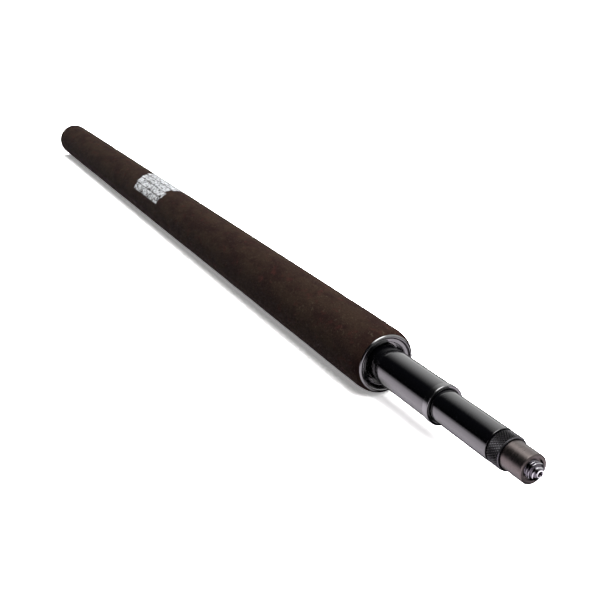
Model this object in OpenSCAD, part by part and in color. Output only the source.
// Three-section telescopic microphone boom pole with a full-length foam grip.
// The closed pole lies along X on its foam, threaded tip at +X, floor at Z = 0,
// and X = 0 halfway along it. Every piece is drawn upright, at its own height above
// the butt end, and lie() lays it down.

/* [Foam grip] */
// Thickness of the foam on the handle tube
foam_wall = 6.5; // [5:0.1:12]
// Length of the foam sleeve
grip_len = 834; // [600:1:1100]
// Length of the foam's rounded front shoulder, which comes down to the collar's rim
grip_nose_len = 10; // [3:0.5:20]
// Rounding of the foam's butt end
grip_tail_r = 6; // [1:0.5:8]

/* [Handle] */
// Wall of the handle tube
handle_wall = 1.5; // [1:0.1:2.5]
// Wall of the guide bush between the handle tube and the mid tube
guide_wall = 1.15; // [0.8:0.05:3]
// How far the collar's rolled rim stands out from its skirt
rim_wide = 3.1; // [2.6:0.1:4]
// Thickness of the collar's flange
flange_t = 7; // [5:0.5:10]
// How far the rim stands in front of the foam
rim_proud = 1; // [0.5:0.5:4]
// Gap between the mid tube and the collar's open mouth
mouth_gap = 1.9; // [1:0.1:2.2]
// Depth of the collar's open mouth
mouth_depth = 5.5; // [4:0.5:6]
// Wall of the collar's skirt round the tube
skirt_wall = 1; // [0.8:0.1:2]
// Length of the collar's skirt
skirt_len = 18; // [12:1:30]
// Length of the guide bush inside the handle tube
handle_guide_len = 40; // [25:1:80]

/* [Butt end] */
// Height of the rubber cap's dome
cap_dome_h = 4; // [2:0.5:6]
// Length of the butt plug in the tube
butt_plug_len = 20; // [14:1:40]
// Thickness of both rubber bumpers
bumper_t = 4; // [2:0.5:8]
// Diameter of the cap screw
cap_screw_d = 5; // [4:0.5:6]

/* [Mid section] */
// Wall of the mid tube
mid_wall = 1.3; // [1:0.1:2.5]
// How far the mid section's lip stands in front of the handle's rim when closed
mid_reach = 58; // [20:1:120]
// Wall of the mid section's end collar
lip_wall = 0.45; // [0.3:0.05:0.8]
// Length of the mid section's end collar
lip_len = 4; // [2:0.5:8]
// Length of the guide liner in the mid tube's mouth
mid_guide_len = 30; // [15:1:60]
// Wall of that liner, between the mid tube and the front tube
liner_wall = 0.45; // [0.35:0.05:1.5]

/* [Front section] */
// Outer diameter of the front tube
front_od = 19; // [18.4:0.1:24]
// Wall of the front tube
front_wall = 1.2; // [1:0.1:1.6]
// How far the front tube's end stands in front of the mid lip when closed
front_reach = 45.8; // [20:0.1:100]

/* [Twist locks] */
// Diameter of the lock spindles
spindle_d = 8; // [6:0.5:8]
// Length of each split expander bush
expander_len = 34; // [30:1:60]
// Wall of an expander bush at its open mouth
expander_wall = 2.2; // [1.8:0.1:2.4]
// Length of the lock cone
cone_len = 14; // [10:1:16]
// Half angle of the lock cone
cone_angle = 10; // [6:1:12]
// Width of the slits between the bush's fingers
slit_w = 2.4; // [1.6:0.1:4]
// Thickness of the nut on the spindle's tail
nut_h = 4; // [3:0.5:6]
// Width across the flats of that nut
nut_af = 13; // [11:0.5:14]
// Length of the spindle plug inside its tube
plug_len = 24; // [20:1:50]
// Thickness of the spindle plug's flange
plug_flange_t = 3; // [2:0.5:6]
// Diameter of the pins through plug and tube
pin_d = 3; // [2:0.5:4]

/* [Tip] */
// Length of the tip plug inside the front tube
tip_plug_len = 66; // [40:1:120]
// Diameter of the threaded neck that carries the lock ring and the adapter
neck_d = 13; // [12:0.5:14]
// Gap behind the lock ring, which lets it back off
ring_gap = 1; // [0.9:0.1:2]
// Width of the knurled lock ring
ring_w = 8; // [6:0.5:14]
// Diameter of the adapter, a standard 5/8 inch thread
adapter_d = 15.875; // [15.5:0.005:16.5]
// Length of the adapter
adapter_len = 14.6; // [10:0.1:25]
// Chamfer on the adapter's front edge
adapter_chamfer = 0.4; // [0.2:0.1:1.5]
// Diameter of the stud, a standard 3/8 inch thread
stud_d = 9.525; // [9:0.005:10]
// How far the stud stands in front of the adapter
stud_proud = 4.5; // [4:0.1:15]
// Length of the stud's tapered nose
stud_nose_len = 2.5; // [1:0.1:3]
// Diameter of the nose's flat end
stud_nose_d = 4.4; // [4:0.1:8]
// Diameter of the centre hole in the stud's end
centre_hole_d = 1.5; // [1:0.1:2.5]
// Depth of that hole
centre_hole_depth = 4; // [2.5:0.5:6]
// Diameter of the hole's countersunk mouth
countersink_d = 3.5; // [2.8:0.1:3.8]

/* [Clearances] */
// Radial clearance of every running fit
run_gap = 0.05; // [0.02:0.01:0.1]
// Gap between pieces that move apart and don't guide each other
free_gap = 0.3; // [0.2:0.05:0.5]

/* [Hidden] */
$fn = 96;

// Radii
front_r = front_od / 2;
front_bore = front_r - front_wall;
mid_bore = front_r + run_gap + liner_wall;
mid_r = mid_bore + mid_wall;
handle_bore = mid_r + run_gap + guide_wall;
handle_r = handle_bore + handle_wall;
mouth_r = mid_r + mouth_gap;
skirt_r = handle_r + skirt_wall;
rim_r = skirt_r + rim_wide;
grip_r = handle_r + foam_wall;
spindle_r = spindle_d / 2;
pin_r = pin_d / 2;
neck_r = neck_d / 2;
adapter_r = adapter_d / 2;
stud_r = stud_d / 2;

// The cap screw's head
cap_head_r = cap_screw_d - 0.3;
cap_head_t = 1.4;
cap_key_af = cap_screw_d * 0.55;

// Heights above the butt end: the handle
tube_foot = cap_dome_h;
grip_foot = tube_foot - 1;
grip_top = grip_foot + grip_len;
rim_top = grip_top + rim_proud;
handle_top = rim_top - flange_t - 1;
handle_guide_foot = handle_top - handle_guide_len;
butt_plug_top = tube_foot + butt_plug_len;
screw_z = handle_top - 9;

// Heights above a spindle's tail: the twist lock
cone_foot = nut_h + 1.5;
expander_foot = cone_foot + free_gap;
expander_top = expander_foot + expander_len;
washer_t = 1;
washer_foot = expander_top + free_gap;
plug_foot = washer_foot + washer_t;
tube_seat = plug_foot + plug_flange_t;
plug_top = tube_seat + plug_len;
spindle_len = plug_top - 4;
slit_depth = expander_len - 10;
drag_z = expander_top - 5;
drag_r = 1.15;
pin_heights = [tube_seat + 7, tube_seat + 15];

// Heights above the butt end: the sliding sections, closed
mid_tail = butt_plug_top + bumper_t + free_gap;
mid_foot = mid_tail + tube_seat;
lip_top = rim_top + mid_reach;
lip_roll_t = 0.8;
mid_top = lip_top - lip_roll_t;
mid_plug_top = mid_tail + plug_top;
front_tail = mid_plug_top + bumper_t + free_gap;
front_foot = front_tail + tube_seat;
front_top = lip_top + front_reach;

// Heights above the butt end: the tip
ring_foot = front_top + ring_gap;
ring_top = ring_foot + ring_w;
adapter_foot = ring_top + 0.1;
adapter_top = adapter_foot + adapter_len;
recess_depth = 1.2;
recess_r = stud_r + 1.1;
stud_foot = adapter_top - recess_depth;
stud_top = adapter_top + stud_proud;
neck_top = stud_foot - 2;
shank_r = stud_r - 0.76;
shank_foot = front_top + 4;
tip_foot = front_top - tip_plug_len;
tip_pin_z = tip_foot + 5;
ring_washer_r = neck_r + 0.9;

total_len = stud_top;

// Lays an upright piece down along X, its foam on the floor
module lie() {
    translate([-total_len / 2, 0, grip_r])
        rotate([0, 90, 0])
            children();
}

// Points of an arc round (r, z), from angle a to angle b
function arc(r, z, radius, a, b, steps = 8) =
    [for (i = [0:steps]) let (t = a + (b - a) * i / steps) [r + radius * cos(t), z + radius * sin(t)]];

// A plain ring or tube between two radii and two heights
module ring(outer, inner, foot, top) {
    rotate_extrude()
        translate([inner, foot])
            square([outer - inner, top - foot]);
}

// A solid rod between two heights
module rod(r, foot, top) {
    translate([0, 0, foot])
        cylinder(r = r, h = top - foot);
}

// Holes or pins across the whole piece at the given heights, each a quarter turn on
module cross_rods(r, reach, heights) {
    for (i = [0:len(heights) - 1])
        translate([0, 0, heights[i]])
            rotate([0, 0, 90 * i])
                rotate([0, 90, 0])
                    cylinder(r = r, h = 2 * reach, center = true);
}

// ---- Handle ----

module foam_grip() {
    nose_drop = grip_r - rim_r - 0.2;
    tail_r = min(grip_tail_r, foam_wall - 0.5);
    color("#2b2320")
        lie()
            rotate_extrude()
                difference() {
                    polygon(concat(
                        [[handle_r, grip_foot]],
                        arc(grip_r - tail_r, grip_foot + tail_r, tail_r, -90, 0),
                        [for (t = [0:10:90])
                            [grip_r - nose_drop * (1 - cos(t)), grip_top - grip_nose_len * (1 - sin(t))]],
                        [[handle_r, grip_top]]));
                    translate([0, handle_top - skirt_len])
                        square([skirt_r, grip_len]);
                    translate([0, rim_top - flange_t])
                        square([rim_r, grip_len]);
                }
}

module handle_tube() {
    color("#17181a")
        lie()
            difference() {
                ring(handle_r, handle_bore, tube_foot, handle_top);
                collar_screw_set(pin_r);
            }
}

// Three radial screws through the collar's skirt and the tube into the guide bush
module collar_screw_set(r) {
    for (i = [0:2])
        translate([0, 0, screw_z])
            rotate([0, 0, 120 * i])
                rotate([0, 90, 0])
                    translate([0, 0, handle_bore - 0.7])
                        cylinder(r = r, h = skirt_r - handle_bore + 0.6);
}

module handle_collar() {
    lip_r = mid_r + 0.4;
    roll_r = 1.1;
    face_z = rim_top - 0.8;
    dish = 0.7;
    color("#1d1e20")
        lie()
            difference() {
                rotate_extrude()
                    polygon(concat(
                        [[rim_r, rim_top - flange_t]],
                        arc(rim_r - roll_r, rim_top - roll_r, roll_r, 0, 180),
                        [[rim_r - 2 * roll_r, face_z],
                         [mouth_r + 0.3, face_z - dish],
                         [mouth_r, face_z - dish - 0.3],
                         [mouth_r, rim_top - mouth_depth],
                         [lip_r, rim_top - mouth_depth],
                         [lip_r, handle_top],
                         [handle_r, handle_top],
                         [handle_r, handle_top - skirt_len],
                         [skirt_r, handle_top - skirt_len],
                         [skirt_r, rim_top - flange_t]]));
                collar_screw_set(pin_r);
            }
}

module handle_guide_bush() {
    color("#e6e3da")
        lie()
            difference() {
                ring(handle_bore, mid_r + run_gap, handle_guide_foot, handle_top);
                collar_screw_set(pin_r);
            }
}

module collar_screws() {
    color("#8c8f94")
        lie()
            collar_screw_set(pin_r - 0.02);
}

module butt_plug() {
    color("#9a9da2")
        lie()
            difference() {
                rod(handle_bore, tube_foot, butt_plug_top);
                rod(cap_screw_d / 2, 0, butt_plug_top - 4);
            }
}

module butt_cap() {
    dome_r = (handle_r * handle_r + cap_dome_h * cap_dome_h) / (2 * cap_dome_h);
    dome_a = asin(handle_r / dome_r);
    color("#151515")
        lie()
            difference() {
                rotate_extrude()
                    polygon(concat([[0, tube_foot]], arc(0, dome_r, dome_r, -90, dome_a - 90, 12)));
                rod(cap_screw_d / 2, -1, tube_foot);
                rod(cap_head_r + 0.1, -1, cap_head_t);
            }
}

module butt_screw() {
    color("#8c8f94")
        lie()
            difference() {
                union() {
                    rod(cap_head_r, 0, cap_head_t);
                    rod(cap_screw_d / 2 - 0.02, cap_head_t, butt_plug_top - 6);
                }
                translate([0, 0, -1])
                    cylinder(r = cap_key_af / 2 / cos(30), h = 1 + cap_head_t + 1, $fn = 6);
            }
}

module bumper(r, foot) {
    color("#242424")
        lie()
            rod(r, foot, foot + bumper_t);
}

module butt_bumper() {
    bumper(handle_bore - 1, butt_plug_top);
}

// ---- Parts that both sliding sections have ----

module section_tube(outer, bore, foot, top, pins) {
    color("#0f1012")
        lie()
            difference() {
                ring(outer, bore, foot, top);
                cross_rods(pin_r, outer + 1, pins);
            }
}

// Flanged plug in the rear of a tube; it carries the spindle
module spindle_plug(outer, bore, tail) {
    color("#a3a6ab")
        lie()
            translate([0, 0, tail])
                difference() {
                    union() {
                        rod(outer, plug_foot, tube_seat);
                        rod(bore, tube_seat, plug_top);
                    }
                    rod(spindle_r, 0, spindle_len);
                    cross_rods(pin_r, outer + 1, pin_heights);
                }
}

module spindle(tail) {
    color("#b9bcc0")
        lie()
            translate([0, 0, tail])
                difference() {
                    rod(spindle_r, 0, spindle_len);
                    cross_rods(pin_r, spindle_d, pin_heights);
                }
}

module plug_pins(outer, tail) {
    color("#c8cacd")
        lie()
            translate([0, 0, tail])
                cross_rods(pin_r - 0.02, outer - 0.1, pin_heights);
}

module thrust_washer(outer, tail) {
    color("#d8d4c8")
        lie()
            translate([0, 0, tail])
                ring(outer, spindle_r, washer_foot, plug_foot);
}

module tail_nut(tail) {
    color("#b9bcc0")
        lie()
            translate([0, 0, tail])
                difference() {
                    cylinder(r = nut_af / 2 / cos(30), h = nut_h, $fn = 6);
                    rod(spindle_r, -1, nut_h + 1);
                }
}

// Split bush that the cone spreads against the bore of the tube outside it
module expander_bush(bore, tail) {
    shell_r = bore - run_gap;
    socket_r = shell_r - expander_wall;
    socket_depth = cone_len + 3;
    color("#e8e4d6")
        lie()
            translate([0, 0, tail])
                difference() {
                    rod(shell_r, expander_foot, expander_top);
                    rod(spindle_r + run_gap, expander_foot - 1, expander_top + 1);
                    translate([0, 0, expander_foot])
                        cylinder(r1 = socket_r, r2 = socket_r - socket_depth * tan(cone_angle), h = socket_depth);
                    for (a = [0, 90])
                        rotate([0, 0, a])
                            translate([-bore, -slit_w / 2, expander_foot - 1])
                                cube([2 * bore, slit_w, slit_depth + 1]);
                    ring(bore + 1, shell_r - 2 * drag_r, drag_z - drag_r - 0.1, drag_z + drag_r + 0.1);
                }
}

// Rubber ring that makes the bush drag on the tube instead of turning in it
module drag_ring(bore, tail) {
    color("#101010")
        lie()
            translate([0, 0, tail + drag_z])
                rotate_extrude()
                    translate([bore - run_gap - drag_r, 0])
                        circle(r = drag_r, $fn = 32);
}

// Threaded cone, kept from turning by two lugs in the bush's slits
module lock_cone(bore, tail) {
    base_r = bore - run_gap - expander_wall - free_gap;
    lug_r = bore - run_gap - 0.6;
    color("#b08d57")
        lie()
            translate([0, 0, tail + cone_foot])
                difference() {
                    union() {
                        cylinder(r1 = base_r, r2 = base_r - cone_len * tan(cone_angle), h = cone_len);
                        translate([-lug_r, -slit_w / 2 + free_gap, 0])
                            cube([2 * lug_r, slit_w - 2 * free_gap, cone_len / 2]);
                    }
                    rod(spindle_r + run_gap, -1, cone_len + 1);
                }
}

// ---- Mid section ----

module mid_tube() {
    section_tube(mid_r, mid_bore, mid_foot, mid_top, [for (h = pin_heights) mid_tail + h]);
}

module mid_collar() {
    lip_r = mid_r + lip_wall;
    roll_r = 0.4;
    mouth = front_r + 0.4;
    color("#141517")
        lie()
            rotate_extrude()
                polygon(concat(
                    [[mid_r, lip_top - lip_len], [lip_r, lip_top - lip_len]],
                    arc(lip_r - roll_r, lip_top - roll_r, roll_r, 0, 90),
                    arc(mouth + roll_r, lip_top - roll_r, roll_r, 90, 180),
                    [[mouth, mid_top], [mid_r, mid_top]]));
}

module mid_guide_liner() {
    color("#2a2a2c")
        lie()
            ring(mid_bore, front_r + run_gap, mid_top - mid_guide_len, mid_top);
}

module mid_spindle_plug() {
    spindle_plug(mid_r, mid_bore, mid_tail);
}

module mid_spindle() {
    spindle(mid_tail);
}

module mid_plug_pins() {
    plug_pins(mid_r, mid_tail);
}

module mid_thrust_washer() {
    thrust_washer(mid_bore - 1, mid_tail);
}

module mid_tail_nut() {
    tail_nut(mid_tail);
}

module mid_bumper() {
    bumper(mid_bore - 1, mid_plug_top);
}

module mid_expander_bush() {
    expander_bush(handle_bore, mid_tail);
}

module mid_drag_ring() {
    drag_ring(handle_bore, mid_tail);
}

module mid_lock_cone() {
    lock_cone(handle_bore, mid_tail);
}

// ---- Front section ----

module front_tube() {
    pins = concat([for (h = pin_heights) front_tail + h], [tip_pin_z]);
    section_tube(front_r, front_bore, front_foot, front_top, pins);
}

module front_spindle_plug() {
    spindle_plug(front_r, front_bore, front_tail);
}

module front_spindle() {
    spindle(front_tail);
}

module front_plug_pins() {
    plug_pins(front_r, front_tail);
}

module front_thrust_washer() {
    thrust_washer(front_bore, front_tail);
}

module front_tail_nut() {
    tail_nut(front_tail);
}

module front_expander_bush() {
    expander_bush(mid_bore, front_tail);
}

module front_drag_ring() {
    drag_ring(mid_bore, front_tail);
}

module front_lock_cone() {
    lock_cone(mid_bore, front_tail);
}

// ---- Tip ----

module tip_plug() {
    color("#3a3a3c")
        lie()
            difference() {
                union() {
                    rod(front_bore, tip_foot, front_top);
                    rod(neck_r, front_top, neck_top);
                }
                rod(front_bore - 2.5, tip_foot - 1, front_top - 12);
                rod(shank_r, shank_foot, stud_top);
                cross_rods(pin_r, front_r + 1, [tip_pin_z]);
            }
}

module tip_plug_pin() {
    color("#c8cacd")
        lie()
            cross_rods(pin_r - 0.02, front_r - 0.1, [tip_pin_z]);
}

module thread_adapter() {
    color("#75706a")
        lie()
            rotate_extrude()
                polygon([[neck_r, adapter_foot],
                         [adapter_r, adapter_foot],
                         [adapter_r, adapter_top - adapter_chamfer],
                         [adapter_r - adapter_chamfer, adapter_top],
                         [recess_r, adapter_top],
                         [recess_r, stud_foot],
                         [shank_r, stud_foot],
                         [shank_r, neck_top],
                         [neck_r, neck_top]]);
}

module thread_stud() {
    hole_r = centre_hole_d / 2;
    mouth = countersink_d / 2;
    color("#4a4846")
        lie()
            rotate_extrude()
                polygon([[0, shank_foot],
                         [shank_r, shank_foot],
                         [shank_r, stud_foot],
                         [stud_r, stud_foot],
                         [stud_r, stud_top - stud_nose_len],
                         [stud_nose_d / 2, stud_top],
                         [mouth, stud_top],
                         [hole_r, stud_top - (mouth - hole_r) / tan(30)],
                         [hole_r, stud_top - centre_hole_depth],
                         [0, stud_top - centre_hole_depth]]);
}

// Nylon washer in the lock ring's front face, between ring and adapter
module lock_ring_washer() {
    color("#cfcabd")
        lie()
            ring(ring_washer_r, neck_r + run_gap, ring_top - washer_t, ring_top);
}

module lock_ring() {
    front_chamfer = 0.8;
    rear_chamfer = 0.3;
    pocket_r = ring_washer_r + free_gap;
    pocket_z = ring_top - washer_t - free_gap;
    color("#2c2c2e")
        lie()
            rotate_extrude()
                polygon([[neck_r + run_gap, ring_foot],
                         [front_r - rear_chamfer, ring_foot],
                         [front_r, ring_foot + rear_chamfer],
                         [front_r, ring_top - front_chamfer],
                         [front_r - front_chamfer, ring_top],
                         [pocket_r, ring_top],
                         [pocket_r, pocket_z],
                         [neck_r + run_gap, pocket_z]]);
}

foam_grip();
handle_tube();
handle_collar();
handle_guide_bush();
collar_screws();
butt_plug();
butt_cap();
butt_screw();
butt_bumper();
mid_tube();
mid_collar();
mid_guide_liner();
mid_spindle_plug();
mid_spindle();
mid_plug_pins();
mid_thrust_washer();
mid_tail_nut();
mid_bumper();
mid_expander_bush();
mid_drag_ring();
mid_lock_cone();
front_tube();
front_spindle_plug();
front_spindle();
front_plug_pins();
front_thrust_washer();
front_tail_nut();
front_expander_bush();
front_drag_ring();
front_lock_cone();
tip_plug();
tip_plug_pin();
thread_adapter();
thread_stud();
lock_ring_washer();
lock_ring();
